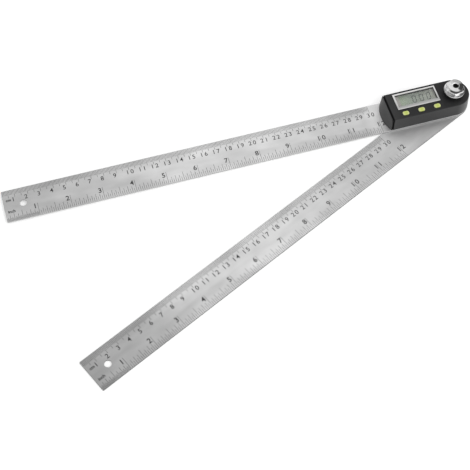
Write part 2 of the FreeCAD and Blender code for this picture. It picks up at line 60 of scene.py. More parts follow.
# The rules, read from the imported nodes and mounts
UPPER_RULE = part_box("upper_blade")
LOWER_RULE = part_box("lower_blade")
MOUNTS = {mount["name"]: mount for mount in frame["record"]["mounts"]}
LOWER_HOLE = Vector(MOUNTS["lower_hang_hole"]["pos_m"])
RULE_REACH = -UPPER_RULE[0].x
RULE_HALF = UPPER_RULE[1].y
UPPER_TOP = UPPER_RULE[1].z
LOWER_TOP = LOWER_RULE[1].z
OPENING = math.atan2(-LOWER_HOLE.y, -LOWER_HOLE.x)

# Scales: places are from the free end, and from the centimetre edge across the rule
SCALE_CENTIMETRES = 30
SCALE_INCHES = 12
MARK_WIDTH = 0.24 * MM
MARK_EDGE_GAP = 0.15 * MM
INK_PROUD = 0.015 * MM
INK_SUNK = 0.02 * MM
INK_RUBBED = 0.03
MILLIMETRE_LINE = 4.55 * MM
HALF_CENTIMETRE_LINE = 6.75 * MM
CENTIMETRE_LINE = 7.15 * MM
THIRTYSECOND_LINE = 2.85 * MM
SIXTEENTH_LINE = 3.65 * MM
EIGHTH_LINE = 5.55 * MM
QUARTER_LINE = 6.45 * MM
HALF_LINE = 8.05 * MM
INCH_LINE = 10.95 * MM

# How many thirty-seconds of an inch part the marks of each length
INCH_PARTS = 32
INCH_STEPS = (
    (INCH_PARTS, INCH_LINE), (16, HALF_LINE), (8, QUARTER_LINE), (4, EIGHTH_LINE), (2, SIXTEENTH_LINE),
)

# The rules' steel: its own tone with painted reflection, lighter and darker stretches along the rule, as
# (share of the reach from the free end, tone). The upper rule's last stop is painted light beside the end
# cover, where the head's shade falls
UPPER_TONES = (
    (0.0, 0.53), (0.16, 0.56), (0.38, 0.74), (0.58, 0.74), (0.75, 0.63), (0.795, 0.6), (0.815, 0.76),
)
LOWER_TONES = ((0.0, 0.39), (0.1, 0.45), (0.26, 0.66), (0.48, 0.76), (0.7, 0.61), (1.0, 0.56))
# Tones of the rules' edge faces: partly duller sheared steel, partly painted shade along the edges
UPPER_EDGE_TONE = 0.45
LOWER_EDGE_TONE = 0.15
PATCH_SIZE = (34 * MM, 13 * MM, 1)
UPPER_PATCH_START = 0.0
LOWER_PATCH_START = 90 * MM
GRAIN_SIZE = (9 * MM, 0.09 * MM, 1)

# Painted shade: a darker zone along the inch side of the upper rule, near the head
PAINTED_SHADE_START = (-190 * MM, -2 * MM, 0)
PAINTED_SHADE_TURN = -0.045
PAINTED_SHADE_SIZE = (100 * MM, 2 * MM, 1)
PAINTED_SHADE_DEPTH = 0.14

# Numbers on the scales
CENTIMETRE_ROW = 8.95 * MM
CENTIMETRE_HEIGHT = 3.7 * MM
CENTIMETRE_SINGLE = -1.8 * MM
CENTIMETRE_TENS = -1.5 * MM
CENTIMETRE_UNITS = 2.1 * MM
INCH_ROW = 19.25 * MM
INCH_HEIGHT = 4.1 * MM
INCH_SINGLE = -2.25 * MM
INCH_TENS = -1.35 * MM
INCH_UNITS = 2.85 * MM
UNIT_HEIGHT = 2.4 * MM
UNIT_START = 2.3 * MM
DIGIT_HEIGHT_SHARE = 0.69
LETTER_STEPS = 3
NUMBER_WEIGHT = 0.008
INCH_WEIGHT = 0.015
UNIT_WEIGHT = 0.03

# Display: the film on the glass, clear of the ledge with the contacts, and the digits on the film
DISPLAY_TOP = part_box("lcd_glass")[1].z
LEDGE_WIDTH = 1.8 * MM
FILM_THICK = 0.08 * MM
FILM_FAR = 4.0 * MM
FILM_MARGIN = 0.7 * MM
READING = "000"
DIGIT_HEIGHT = 7.0 * MM
DIGIT_WIDTH = 3.65 * MM
DIGIT_STROKE = 0.8 * MM
DIGIT_GAP = 0.1 * MM
DIGIT_THICK = 0.015 * MM
DIGIT_PITCH = 6.15 * MM
DIGIT_SLANT = 0.08
FIRST_DIGIT_X = -32.1 * MM
DIGIT_ROW_Y = 3.7 * MM
SLANT = Matrix(((1, DIGIT_SLANT, 0, 0), (0, 1, 0, 0), (0, 0, 1, 0), (0, 0, 0, 1)))
WINDOW_IOR = 1.45

# The knob's zones: painted reflections in soft sectors round the axis, as (share of a turn, tone) with 0.5
# towards +X
KNOB_FACE = ((0.0, 0.8), (0.26, 0.74), (0.31, 0.06), (0.5, 0.05), (0.56, 0.42), (0.76, 0.5), (0.9, 0.76))
KNOB_CROWN = ((0.0, 0.95), (0.06, 0.85), (0.1, 0.08), (0.5, 0.06), (0.56, 0.5), (1.0, 0.95))
KNOB_CONE = (
    (0.0, 0.5), (0.06, 0.35), (0.17, 0.12), (0.2, 0.42), (0.24, 0.12), (0.4, 0.1), (0.9, 0.75), (0.97, 0.3),
)
KNOB_RIM = ((0.05, 0.35), (0.15, 0.9), (0.28, 0.9), (0.4, 0.3), (0.9, 0.5), (1.0, 0.35))
KNOB_FLATS = (
    (0.0, 0.5), (0.03, 0.5), (0.05, 0.34), (0.19, 0.25), (0.21, 0.95), (0.37, 0.95), (0.4, 0.5), (1.0, 0.5),
)
# Painted highlight: the bright band round the upper flats
KNOB_PAINTED_HIGHLIGHT = 0.97

# Where the zones begin and end, as shares of the knob's height
KNOB_RIM_TOP = 0.155
KNOB_CONE_TOP = 0.3
KNOB_FLATS_TOP = 0.45
KNOB_CROWN_FOOT = 0.655

# Radii of the knob's bore and of the lip round it, and how dull its walls are
KNOB_BORE = 2.15 * MM
KNOB_LIP = 2.95 * MM
KNOB_LIP_TONE = 0.75
KNOB_WALL_DULL = 0.6

# The shaft's thread begins at a share of its height. It and the knob's bore are painted dark, a painted
# shade in the hole
THREAD_SHARE = 0.79
BORE_PAINTED_SHADE = 0.03

# Snap domes under the buttons, as (share of the foot's radius, share of the height)
DOME_OUTLINE = ((1.0, 0.0), (0.96, 0.14), (0.87, 0.5), (0.74, 0.8), (0.55, 0.96), (0.25, 1.0), (0.0, 0.95))
DOME_SHEET = 0.12 * MM
DOME_PRESSED = 0.4 * MM
DOME_STEPS = 32

# The case: its gloss, how much painted light makes its walls and ends paler, and the painted shade beside
# the groove at the end cover
CASE_GLOSS = 0.28
WALL_PAINTED_LIGHT = 0.024
END_PAINTED_LIGHT = 0.027
NOSE_PAINTED_LIGHT = 0.105
LEFT_PAINTED_LIGHT = 0.013
LEFT_SHARE = 0.22
GROOVE_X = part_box("head_housing")[0].x + 0.45 * MM
GROOVE_REACH = 1.0 * MM
GROOVE_CORE = 0.65
GROOVE_PAINTED_SHADE = 0.9

# How squarely a face looks up where it counts as a wall, as level, and as the knob's end face
WALL_FACE = 0.3
LEVEL_FACE = 0.9
KNOB_LEVEL = 0.95

# The middle of a noise, where one tone goes over into another
NOISE_LOW = 0.3
NOISE_HIGH = 0.7

# Camera, found by fitting a pinhole camera to the scale numbers. Its turn is in degrees
CAMERA_PLACE = (-335.16 * MM, -457.51 * MM, 743.09 * MM)
CAMERA_TURN = (28.803, -1.219, -16.466)
CAMERA_LENS = 85.34
SENSOR_WIDTH = 36.0

# Studio
WHITE = (1, 1, 1, 1)
FLOOR_COLOUR = (0.9, 0.9, 0.9, 1)
FLOOR_CELLS = 8
FLOOR_REACH = 4.0
FLOOR_LIFT = 0.28
WORLD_LIGHT = 0.75
KEY_POWER = 14.0
KEY_SIZE = 1.8
KEY_PLACE = (0.75, -0.95, 1.25)
KEY_AIM = (-0.12, -0.05, 0.0)


# Building shapes

def make_piece(name, bm, material, body):
    mesh = bpy.data.meshes.new(name)
    bm.to_mesh(mesh)
    bm.free()
    mesh.materials.append(material)
    piece = bpy.data.objects.new(name, mesh)
    bpy.context.scene.collection.objects.link(piece)
    if body:
        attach(piece, body)
    return piece


def rule_place(top, turn):
    # From places along and across a rule to places on the object.
    return Matrix.Rotation(turn, 4, "Z") @ Matrix.Translation((-RULE_REACH, RULE_HALF, top))


def add_mark(bm, along, across, length):
    # A filled line across the rule, its near end at "across" from the centimetre edge.
    thick = INK_PROUD + INK_SUNK
    centre = Vector((along, -(across + length / 2), INK_PROUD - thick / 2))
    size = Matrix.Diagonal((MARK_WIDTH, length, thick, 1))
    bmesh.ops.create_cube(bm, size=1, matrix=Matrix.Translation(centre) @ size)


def centimetre_length(count):
    if count % 10 == 0:
        return CENTIMETRE_LINE
    return HALF_CENTIMETRE_LINE if count % 5 == 0 else MILLIMETRE_LINE


def inch_length(count):
    # The count is in thirty-seconds of an inch.
    for step, length in INCH_STEPS:
        if count % step == 0:
            return length
    return THIRTYSECOND_LINE


def scale_marks(place):
    # Millimetres on one edge, and on the other sixteenths, with thirty-seconds in the first inch.
    bm = bmesh.new()
    for count in range(1, SCALE_CENTIMETRES * 10 + 1):
        add_mark(bm, count * MM, MARK_EDGE_GAP, centimetre_length(count))
    for count in range(1, SCALE_INCHES * INCH_PARTS + 1):
        if count < INCH_PARTS or count % 2 == 0:
            length = inch_length(count)
            add_mark(bm, count * INCH / INCH_PARTS, RULE_HALF * 2 - length, length - MARK_EDGE_GAP)
    bmesh.ops.transform(bm, matrix=place, verts=bm.verts)
    return bm


def letter_mesh(text, align, weight):
    # Plain letters of one unit's size and thickness, lying flat, as a mesh.
    curve = bpy.data.curves.new("letters", "FONT")
    curve.body = text
    curve.align_x = align
    curve.resolution_u = LETTER_STEPS
    curve.extrude = 0.5
    curve.offset = weight
    holder = bpy.data.objects.new("letters", curve)
    bpy.context.scene.collection.objects.link(holder)
    bpy.context.view_layer.update()
    shown = holder.evaluated_get(bpy.context.evaluated_depsgraph_get())
    mesh = bpy.data.meshes.new_from_object(shown)
    bpy.data.objects.remove(holder)
    bpy.data.curves.remove(curve)
    return mesh


def add_letters(bm, mesh, along, row, height):
    # Letters whose middle is on a row of the rule.
    first = len(bm.verts)
    bm.from_mesh(mesh)
    bm.verts.ensure_lookup_table()
    thick = INK_PROUD + INK_SUNK
    size = height / DIGIT_HEIGHT_SHARE
    centre = Vector((along, -(row + height / 2), INK_PROUD - thick / 2))
    place = Matrix.Translation(centre) @ Matrix.Diagonal((size, size, thick, 1))
    bmesh.ops.transform(bm, matrix=place, verts=bm.verts[first:])


def scale_numbers(place, digits, inch_digits, units):
    bm = bmesh.new()
    for count in range(1, SCALE_CENTIMETRES + 1):
        line = count * 10 * MM
        offsets = [CENTIMETRE_SINGLE] if count < 10 else [CENTIMETRE_TENS, CENTIMETRE_UNITS]
        for digit, offset in zip(str(count), offsets):
            add_letters(bm, digits[digit], line + offset, CENTIMETRE_ROW, CENTIMETRE_HEIGHT)
    for count in range(1, SCALE_INCHES + 1):
        offsets = [INCH_SINGLE] if count < 10 else [INCH_TENS, INCH_UNITS]
        for digit, offset in zip(str(count), offsets):
            add_letters(bm, inch_digits[digit], count * INCH + offset, INCH_ROW, INCH_HEIGHT)
    for unit, row in (("cm", CENTIMETRE_ROW), ("inch", INCH_ROW)):
        add_letters(bm, units[unit], UNIT_START, row, UNIT_HEIGHT)
    bmesh.ops.transform(bm, matrix=place, verts=bm.verts)
    return bm


def add_segment(bm, centre, length, upright):
    # One bar of a display digit, pointed at both ends: a hexagon drawn out to its length.
    corner = DIGIT_STROKE / math.sqrt(3)
    verts = bmesh.ops.create_circle(bm, cap_ends=True, segments=6, radius=corner)["verts"]
    stretch = length / 2 - corner
    for vert in verts:
        vert.co.x += math.copysign(stretch, vert.co.x)
    face = verts[0].link_faces[0]
    raised = bmesh.ops.extrude_face_region(bm, geom=[face])
    top = [item for item in raised["geom"] if isinstance(item, bmesh.types.BMVert)]
    bmesh.ops.translate(bm, vec=(0, 0, DIGIT_THICK), verts=top)
    turn = Matrix.Rotation(math.radians(90 if upright else 0), 4, "Z")
    bmesh.ops.transform(bm, matrix=Matrix.Translation(centre) @ turn, verts=verts + top)


def display_reading():
    # Noughts, each with every bar of a digit but the middle one.
    bm = bmesh.new()
    side = (DIGIT_WIDTH - DIGIT_STROKE) / 2
    rise = (DIGIT_HEIGHT - DIGIT_STROKE) / 2
    for place in range(len(READING)):
        centre = Vector((FIRST_DIGIT_X + place * DIGIT_PITCH, 0, 0))
        for across in (-side, side):
            for along in (-rise / 2, rise / 2):
                add_segment(bm, centre + Vector((across, along, 0)), rise - DIGIT_GAP, True)
        for along in (-rise, rise):
            add_segment(bm, centre + Vector((0, along, 0)), side * 2 - DIGIT_GAP, False)
    slanted = Matrix.Translation((0, DIGIT_ROW_Y, DISPLAY_TOP + FILM_THICK)) @ SLANT
    bmesh.ops.transform(bm, matrix=slanted, verts=bm.verts)
    bmesh.ops.recalc_face_normals(bm, faces=bm.faces)
    return bm


def display_film():
    # The polarising film, smaller than the glass it lies on, with its edge broken.
    low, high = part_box("lcd_glass")
    near = Vector((low.x + FILM_FAR, low.y + LEDGE_WIDTH + FILM_MARGIN, DISPLAY_TOP))
    far = Vector((high.x - FILM_MARGIN, high.y - FILM_MARGIN, DISPLAY_TOP + FILM_THICK))
    middle = (near + far) / 2
    place = Matrix.Translation(middle) @ Matrix.Diagonal((*(far - near), 1))
    bm = bmesh.new()
    bmesh.ops.create_cube(bm, size=1, matrix=place)
    rim = [edge for edge in bm.edges if all(vert.co.z > middle.z for vert in edge.verts)]
    broken = FILM_THICK / 2
    bmesh.ops.bevel(bm, geom=rim, offset=broken, affect="EDGES", segments=2, profile=0.5, material=-1)
    return bm


# Building finishes

def new_finish(name, metallic, roughness=0.5):
    material = bpy.data.materials.new(name)
    material.use_nodes = True
    tree = material.node_tree
    shader = tree.nodes["Principled BSDF"]
    shader.inputs["Metallic"].default_value = metallic
    shader.inputs["Roughness"].default_value = roughness
    return material, tree, shader


def object_place(tree, turn=0.0, size=(1, 1, 1), centre=(0, 0, 0)):
    # Places on the piece, turned about Z and then divided by a size.
    source = tree.nodes.new("ShaderNodeTexCoord")
    mapping = tree.nodes.new("ShaderNodeMapping")
    mapping.vector_type = "TEXTURE"
    mapping.inputs["Location"].default_value = centre
    mapping.inputs["Rotation"].default_value = (0, 0, turn)
    mapping.inputs["Scale"].default_value = size
    tree.links.new(source.outputs["Object"], mapping.inputs["Vector"])
    return mapping.outputs["Vector"]


def parts_of(tree, vector):
    node = tree.nodes.new("ShaderNodeSeparateXYZ")
    tree.links.new(vector, node.inputs["Vector"])
    return node.outputs


def noise(tree, place, detail=3.0, roughness=0.5):
    node = tree.nodes.new("ShaderNodeTexNoise")
    node.inputs["Scale"].default_value = 1.0
    node.inputs["Detail"].default_value = detail
    node.inputs["Roughness"].default_value = roughness
    tree.links.new(place, node.inputs["Vector"])
    return node.outputs["Fac"]


def speckle(tree, size, detail=3.0, roughness=0.5):
    # A noise whose spots are the same size in every direction.
    return noise(tree, object_place(tree, size=(size, size, size)), detail, roughness)


def ramp(tree, factor, stops):
    node = tree.nodes.new("ShaderNodeValToRGB")
    elements = node.color_ramp.elements
    while len(elements) < len(stops):
        elements.new(0.5)
    for element, (position, colour) in zip(elements, stops):
        element.position = position
        element.color = (*colour, 1)
    tree.links.new(factor, node.inputs["Fac"])
    return node.outputs["Color"]


def grey(level):
    return (level, level, level)


def grey_ramp(tree, factor, tones):
    return ramp(tree, factor, [(position, grey(tone)) for position, tone in tones])


def mottled(tree, factor, dark, light):
    # From one colour to another over the middle of a noise.
    return ramp(tree, factor, [(NOISE_LOW, dark), (NOISE_HIGH, light)])


def maths(tree, operation, first, second=0.0):
    node = tree.nodes.new("ShaderNodeMath")
    node.operation = operation
    for socket, value in zip(node.inputs, (first, second)):
        if isinstance(value, (int, float)):
            socket.default_value = value
        else:
            tree.links.new(value, socket)
    return node.outputs["Value"]


def blended(tree, mode, factor, first, second):
    # A mix node keeps its factor in socket 0 and its two colours in sockets 6 and 7.
    node = tree.nodes.new("ShaderNodeMix")
    node.data_type = "RGBA"
    node.blend_type = mode
    sockets = (node.inputs[0], node.inputs[6], node.inputs[7])
    for socket, value in zip(sockets, (factor, first, second)):
        if isinstance(value, (int, float)):
            socket.default_value = value
        elif isinstance(value, tuple):
            socket.default_value = (*value, 1)
        else:
            tree.links.new(value, socket)
    return node.outputs[2]


def multiplied(tree, first, second):
    return blended(tree, "MULTIPLY", 1.0, first, second)


def bump(tree, shader, height, strength, distance):
    node = tree.nodes.new("ShaderNodeBump")
    node.inputs["Strength"].default_value = strength
    node.inputs["Distance"].default_value = distance
    tree.links.new(height, node.inputs["Height"])
    tree.links.new(node.outputs["Normal"], shader.inputs["Normal"])


def set_colour(tree, shader, colour):
    tree.links.new(colour, shader.inputs["Base Color"])


def set_roughness(tree, shader, factor, low, high):
    node = tree.nodes.new("ShaderNodeMapRange")
    node.inputs["To Min"].default_value = low
    node.inputs["To Max"].default_value = high
    tree.links.new(factor, node.inputs["Value"])
    tree.links.new(node.outputs["Result"], shader.inputs["Roughness"])


def from_axis(tree, place):
    # Distance of a place from the Z axis.
    flat = tree.nodes.new("ShaderNodeVectorMath")
    flat.operation = "MULTIPLY"
    flat.inputs[1].default_value = (1, 1, 0)
    length = tree.nodes.new("ShaderNodeVectorMath")
    length.operation = "LENGTH"
    tree.links.new(place, flat.inputs[0])
    tree.links.new(flat.outputs["Vector"], length.inputs[0])
    return length.outputs["Value"]


def turning_marks(tree, place, pitch):
    # Fine rings left by turning, as a noise of the distance from the axis alone.
    node = tree.nodes.new("ShaderNodeTexNoise")
    node.noise_dimensions = "1D"
    node.inputs["Scale"].default_value = 1 / pitch
    node.inputs["Detail"].default_value = 2.0
    tree.links.new(from_axis(tree, place), node.inputs["W"])
    return node.outputs["Fac"]


def box_share(tree, node_name):
    # Places in the box of a node, from 0 to 1 along X, Y and Z.
    low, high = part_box(node_name)
    return parts_of(tree, object_place(tree, size=tuple(high - low), centre=tuple(low)))


def rule_share(tree, turn=0.0):
    # Places along a rule, from 0 at the free end to 1 at the pivot.
    along = parts_of(tree, object_place(tree, turn, (RULE_REACH, 1, 1)))["X"]
    return maths(tree, "ADD", along, 1.0)


def facing(tree, axis):
    # How squarely a face looks along an axis, from 0 to 1.
    source = tree.nodes.new("ShaderNodeTexCoord")
    return maths(tree, "ABSOLUTE", parts_of(tree, source.outputs["Normal"])[axis])


def round_axis(tree, place):
    # The direction from the axis as a share of a turn, 0.5 towards +X.
    node = tree.nodes.new("ShaderNodeTexGradient")
    node.gradient_type = "RADIAL"
    tree.links.new(place, node.inputs["Vector"])
    return node.outputs["Fac"]


# Finishes

def dull_zone(tree):
    # How strongly the painted shade on the upper rule shows, a zone with one slanted edge.
    zone = parts_of(tree, object_place(tree, PAINTED_SHADE_TURN, PAINTED_SHADE_SIZE, PAINTED_SHADE_START))
    inside = grey_ramp(tree, zone["X"], ((0.0, 0.0), (1.0, 1.0)))
    below = grey_ramp(tree, maths(tree, "SUBTRACT", 0.5, zone["Y"]), ((0.0, 0.0), (1.0, 1.0)))
    return maths(tree, "MULTIPLY", maths(tree, "MULTIPLY", inside, below), PAINTED_SHADE_DEPTH)


def rule_steel(name, turn, tones, edge_tone, patch_start, dull=False):
    # Steel ground along the rule. Its tones from the free end are painted reflection, and its edge faces get
    # another tone, partly duller sheared steel and partly painted shade.
    material, tree, shader = new_finish(name, metallic=1.0)
    tone = grey_ramp(tree, rule_share(tree, turn), tones)
    spots = noise(tree, object_place(tree, turn, PATCH_SIZE, (patch_start, 0, 0)), detail=2.0)
    patches = mottled(tree, spots, grey(0.8), grey(1.04))
    grain = noise(tree, object_place(tree, turn, GRAIN_SIZE), detail=4.0, roughness=0.6)
    streaks = grey_ramp(tree, grain, ((0.25, 0.9), (0.75, 1.0)))
    colour = multiplied(tree, multiplied(tree, tone, patches), streaks)
    # The upper rule gets painted shade along its inch side
    if dull:
        colour = multiplied(tree, colour, maths(tree, "SUBTRACT", 1.0, dull_zone(tree)))
    # Edge faces: partly duller sheared steel, partly painted shade
    level = maths(tree, "GREATER_THAN", facing(tree, "Z"), LEVEL_FACE)
    set_colour(tree, shader, blended(tree, "MIX", level, grey(edge_tone), colour))
    set_roughness(tree, shader, grain, low=0.4, high=0.56)
    bump(tree, shader, grain, strength=0.25, distance=0.02 * MM)
    return material


def scale_ink(name):
    # Dark ink, rubbed paler towards the pivot.
    material, tree, shader = new_finish(name, metallic=0.0, roughness=0.6)
    ink = grey_ramp(tree, speckle(tree, 0.6 * MM), ((0.3, 0.012), (0.75, 0.035)))
    rubbed = grey_ramp(tree, rule_share(tree), ((0.3, 0.0), (0.6, INK_RUBBED)))
    set_colour(tree, shader, blended(tree, "ADD", 1.0, ink, rubbed))
    return material


def case_plastic(name):
    # Fine textured moulding, with painted light making its walls, round ends and left end paler, and painted
    # shade beside the groove of the end cover.
    material, tree, shader = new_finish(name, metallic=0.0)
    shader.inputs["Specular IOR Level"].default_value = CASE_GLOSS
    cloud = speckle(tree, 9 * MM, detail=2.0)
    colour = mottled(tree, cloud, (0.008, 0.008, 0.0085), (0.013, 0.013, 0.0135))
    # Painted light: walls, ends, the round nose and the left end lighter
    walls = grey_ramp(tree, facing(tree, "Z"), ((WALL_FACE, WALL_PAINTED_LIGHT), (LEVEL_FACE, 0.0)))
    along = box_share(tree, "head_housing")["X"]
    rounded = grey_ramp(tree, along, ((0.0, END_PAINTED_LIGHT), (1.0, NOSE_PAINTED_LIGHT)))
    ends = maths(tree, "MULTIPLY", facing(tree, "X"), rounded)
    left = grey_ramp(tree, along, ((0.0, LEFT_PAINTED_LIGHT), (LEFT_SHARE, 0.0)))
    lift = maths(tree, "ADD", maths(tree, "ADD", walls, ends), left)
    # Painted shade beside the groove: a darker colour and metallic there dim the gloss
    groove = object_place(tree, size=(GROOVE_REACH, 1, 1), centre=(GROOVE_X, 0, 0))
    beside = maths(tree, "ABSOLUTE", parts_of(tree, groove)["X"])
    away = grey_ramp(tree, beside, ((GROOVE_CORE, 0.0), (1.0, 1.0)))
    set_colour(tree, shader, blended(tree, "ADD", away, colour, lift))
    dark = maths(tree, "SUBTRACT", 1.0, away)
    tree.links.new(maths(tree, "MULTIPLY", dark, GROOVE_PAINTED_SHADE), shader.inputs["Metallic"])
    grain = speckle(tree, 0.3 * MM, roughness=0.6)
    set_roughness(tree, shader, grain, low=0.42, high=0.6)
    bump(tree, shader, grain, strength=0.35, distance=0.03 * MM)
    return material


def boss_black(name):
    material, tree, shader = new_finish(name, metallic=0.0, roughness=0.4)
    rings = turning_marks(tree, object_place(tree), 0.15 * MM)
    set_colour(tree, shader, mottled(tree, rings, grey(0.006), grey(0.01)))
    bump(tree, shader, rings, strength=0.2, distance=0.01 * MM)
    return material


def bezel_silver(name):
    # Satin paint with painted shade: darker on the sill and towards the buttons.
    material, tree, shader = new_finish(name, metallic=1.0)
    flakes = speckle(tree, 0.12 * MM, detail=2.0)
    paint = mottled(tree, flakes, (0.88, 0.88, 0.87), (1.0, 1.0, 0.99))
    share = box_share(tree, "lcd_bezel")
    # Painted shade: darker towards the near side and on the low sill
    across = grey_ramp(tree, share["Y"], ((0.1, 0.47), (0.3, 0.57), (0.8, 0.76)))
    rise = grey_ramp(tree, share["Z"], ((0.6, 0.86), (0.66, 1.0)))
    set_colour(tree, shader, multiplied(tree, multiplied(tree, paint, across), rise))
    set_roughness(tree, shader, flakes, low=0.3, high=0.44)
    bump(tree, shader, flakes, strength=0.1, distance=0.01 * MM)
    return material


def clear_window(name):
    # Clear moulded plastic that lets light through to the display.
    material, tree, shader = new_finish(name, metallic=0.0, roughness=0.03)
    shader.inputs["Transmission Weight"].default_value = 1.0
    shader.inputs["IOR"].default_value = WINDOW_IOR
    smears = noise(tree, object_place(tree, 0.4, (14 * MM, 3 * MM, 3 * MM)), detail=2.0)
    set_colour(tree, shader, mottled(tree, smears, (0.95, 0.96, 0.95), (0.99, 0.99, 0.99)))
    clear = tree.nodes.new("ShaderNodeBsdfTransparent")
    path = tree.nodes.new("ShaderNodeLightPath")
    either = tree.nodes.new("ShaderNodeMixShader")
    tree.links.new(path.outputs["Is Shadow Ray"], either.inputs["Fac"])
    tree.links.new(shader.outputs["BSDF"], either.inputs[1])
    tree.links.new(clear.outputs["BSDF"], either.inputs[2])
    tree.links.new(either.outputs["Shader"], tree.nodes["Material Output"].inputs["Surface"])
    return material


def display_glass(name):
    # The sealed margin of the glass, warm grey where no film covers it.
    material, tree, shader = new_finish(name, metallic=0.0, roughness=0.35)
    cloud = speckle(tree, 2 * MM, detail=2.0)
    set_colour(tree, shader, mottled(tree, cloud, (0.27, 0.26, 0.24), (0.32, 0.31, 0.29)))
    return material


def film_green(name):
    # Grey-green film, greyer towards the pivot and shaded under the far side of the frame.
    material, tree, shader = new_finish(name, metallic=0.0, roughness=0.35)
    share = box_share(tree, "lcd_glass")
    tone = ramp(tree, share["X"], [
        (0.0, (0.29, 0.36, 0.245)), (0.4, (0.24, 0.285, 0.235)), (1.0, (0.31, 0.32, 0.275)),
    ])
    shade = grey_ramp(tree, share["Y"], ((0.6, 1.0), (0.88, 0.64), (1.0, 0.6)))
    fine = mottled(tree, speckle(tree, 0.12 * MM, detail=2.0), grey(0.92), grey(1.0))
    set_colour(tree, shader, multiplied(tree, multiplied(tree, tone, shade), fine))
    return material


def display_segment(name):
    material, tree, shader = new_finish(name, metallic=0.0, roughness=0.4)
    uneven = noise(tree, object_place(tree, size=(1.5 * MM, 1.5 * MM, 1)), detail=1.0)
    set_colour(tree, shader, mottled(tree, uneven, (0.028, 0.034, 0.04), (0.045, 0.05, 0.05)))
    return material


def holder_white(name):
    material, tree, shader = new_finish(name, metallic=0.0, roughness=0.5)
    cloud = speckle(tree, 4 * MM)
    set_colour(tree, shader, mottled(tree, cloud, (0.72, 0.72, 0.69), (0.79, 0.79, 0.77)))
    bump(tree, shader, cloud, strength=0.1, distance=0.02 * MM)
    return material


def contact_rubber(name):
    # Conducting and plain layers in turn along the strip.
    material, tree, shader = new_finish(name, metallic=0.0, roughness=0.75)
    bands = tree.nodes.new("ShaderNodeTexWave")
    bands.inputs["Scale"].default_value = 1.0
    tree.links.new(object_place(tree, size=(1.2 * MM, 1, 1)), bands.inputs["Vector"])
    colour = ramp(tree, bands.outputs["Fac"], [(0.45, (0.55, 0.24, 0.22)), (0.55, (0.03, 0.03, 0.03))])
    set_colour(tree, shader, colour)
    return material


def button_lime(name, node_name):
    # Soft rubber with painted highlights, paler towards the two ends of the button.
    material, tree, shader = new_finish(name, metallic=0.0, roughness=0.3)
    low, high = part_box(node_name)
    middle = (low + high) / 2
    size = (high.x - middle.x, high.y - low.y, 1)
    reach = object_place(tree, size=size, centre=(middle.x, middle.y, 0))
    uneven = maths(tree, "MULTIPLY", speckle(tree, 2 * MM), 0.2)
    # Painted highlights: paler towards the ends
    colour = ramp(tree, maths(tree, "ADD", from_axis(tree, reach), uneven), [
        (0.2, (0.48, 0.56, 0.11)), (0.6, (0.54, 0.60, 0.17)), (0.95, (0.72, 0.73, 0.40)),
    ])
    set_colour(tree, shader, colour)
    bump(tree, shader, speckle(tree, 0.2 * MM), strength=0.15, distance=0.02 * MM)
    return material


def spring_metal(name):
    material, tree, shader = new_finish(name, metallic=1.0)
    rolled = noise(tree, object_place(tree, size=(3 * MM, 0.1 * MM, 0.1 * MM)))
    set_colour(tree, shader, mottled(tree, rolled, (0.62, 0.61, 0.58), (0.74, 0.73, 0.70)))
    set_roughness(tree, shader, rolled, low=0.22, high=0.38)
    return material


def knob_chrome(name):
    # Bright plating over a turned top, each zone with painted reflections in soft sectors. The bore is
    # painted dark, a painted shade in the hole.
    material, tree, shader = new_finish(name, metallic=1.0)
    place = object_place(tree)
    around = round_axis(tree, place)
    face, crown, cone, rim, flats = [
        grey_ramp(tree, around, tones)
        for tones in (KNOB_FACE, KNOB_CROWN, KNOB_CONE, KNOB_RIM, KNOB_FLATS)
    ]
    height = box_share(tree, "lock_knob")["Z"]
    colour = rim
    for foot, tone in (
        (KNOB_RIM_TOP, cone), (KNOB_CONE_TOP, flats),
        (KNOB_FLATS_TOP, grey(KNOB_PAINTED_HIGHLIGHT)), (KNOB_CROWN_FOOT, crown),
    ):
        above = maths(tree, "GREATER_THAN", height, foot)
        colour = blended(tree, "MIX", above, colour, tone)
    reach = from_axis(tree, place)
    mottle = mottled(tree, speckle(tree, 0.9 * MM), grey(0.8), grey(1.0))
    lip = maths(tree, "LESS_THAN", reach, KNOB_LIP)
    face = blended(tree, "MIX", lip, multiplied(tree, mottle, face), grey(KNOB_LIP_TONE))
    level = facing(tree, "Z")
    colour = blended(tree, "MIX", maths(tree, "GREATER_THAN", level, KNOB_LEVEL), colour, face)
    bore = maths(tree, "LESS_THAN", reach, KNOB_BORE)
    set_colour(tree, shader, blended(tree, "MIX", bore, colour, grey(BORE_PAINTED_SHADE)))

    crowned = maths(tree, "GREATER_THAN", height, KNOB_CROWN_FOOT)
    upright = maths(tree, "LESS_THAN", level, WALL_FACE)
    wall = maths(tree, "MAXIMUM", maths(tree, "SUBTRACT", upright, crowned), 0.0)
    metal = maths(tree, "SUBTRACT", 1.0, maths(tree, "MULTIPLY", wall, KNOB_WALL_DULL))
    tree.links.new(metal, shader.inputs["Metallic"])
    rings = turning_marks(tree, place, 0.12 * MM)
    fine = grey_ramp(tree, rings, ((0.0, 0.7), (1.0, 1.0)))
    dull = grey_ramp(tree, level, ((0.25, 0.5), (0.35, 0.6), (0.93, 0.6), (0.97, 0.3)))
    set_roughness(tree, shader, multiplied(tree, dull, fine), low=0.0, high=1.0)
    bump(tree, shader, rings, strength=0.2, distance=0.01 * MM)
    return material


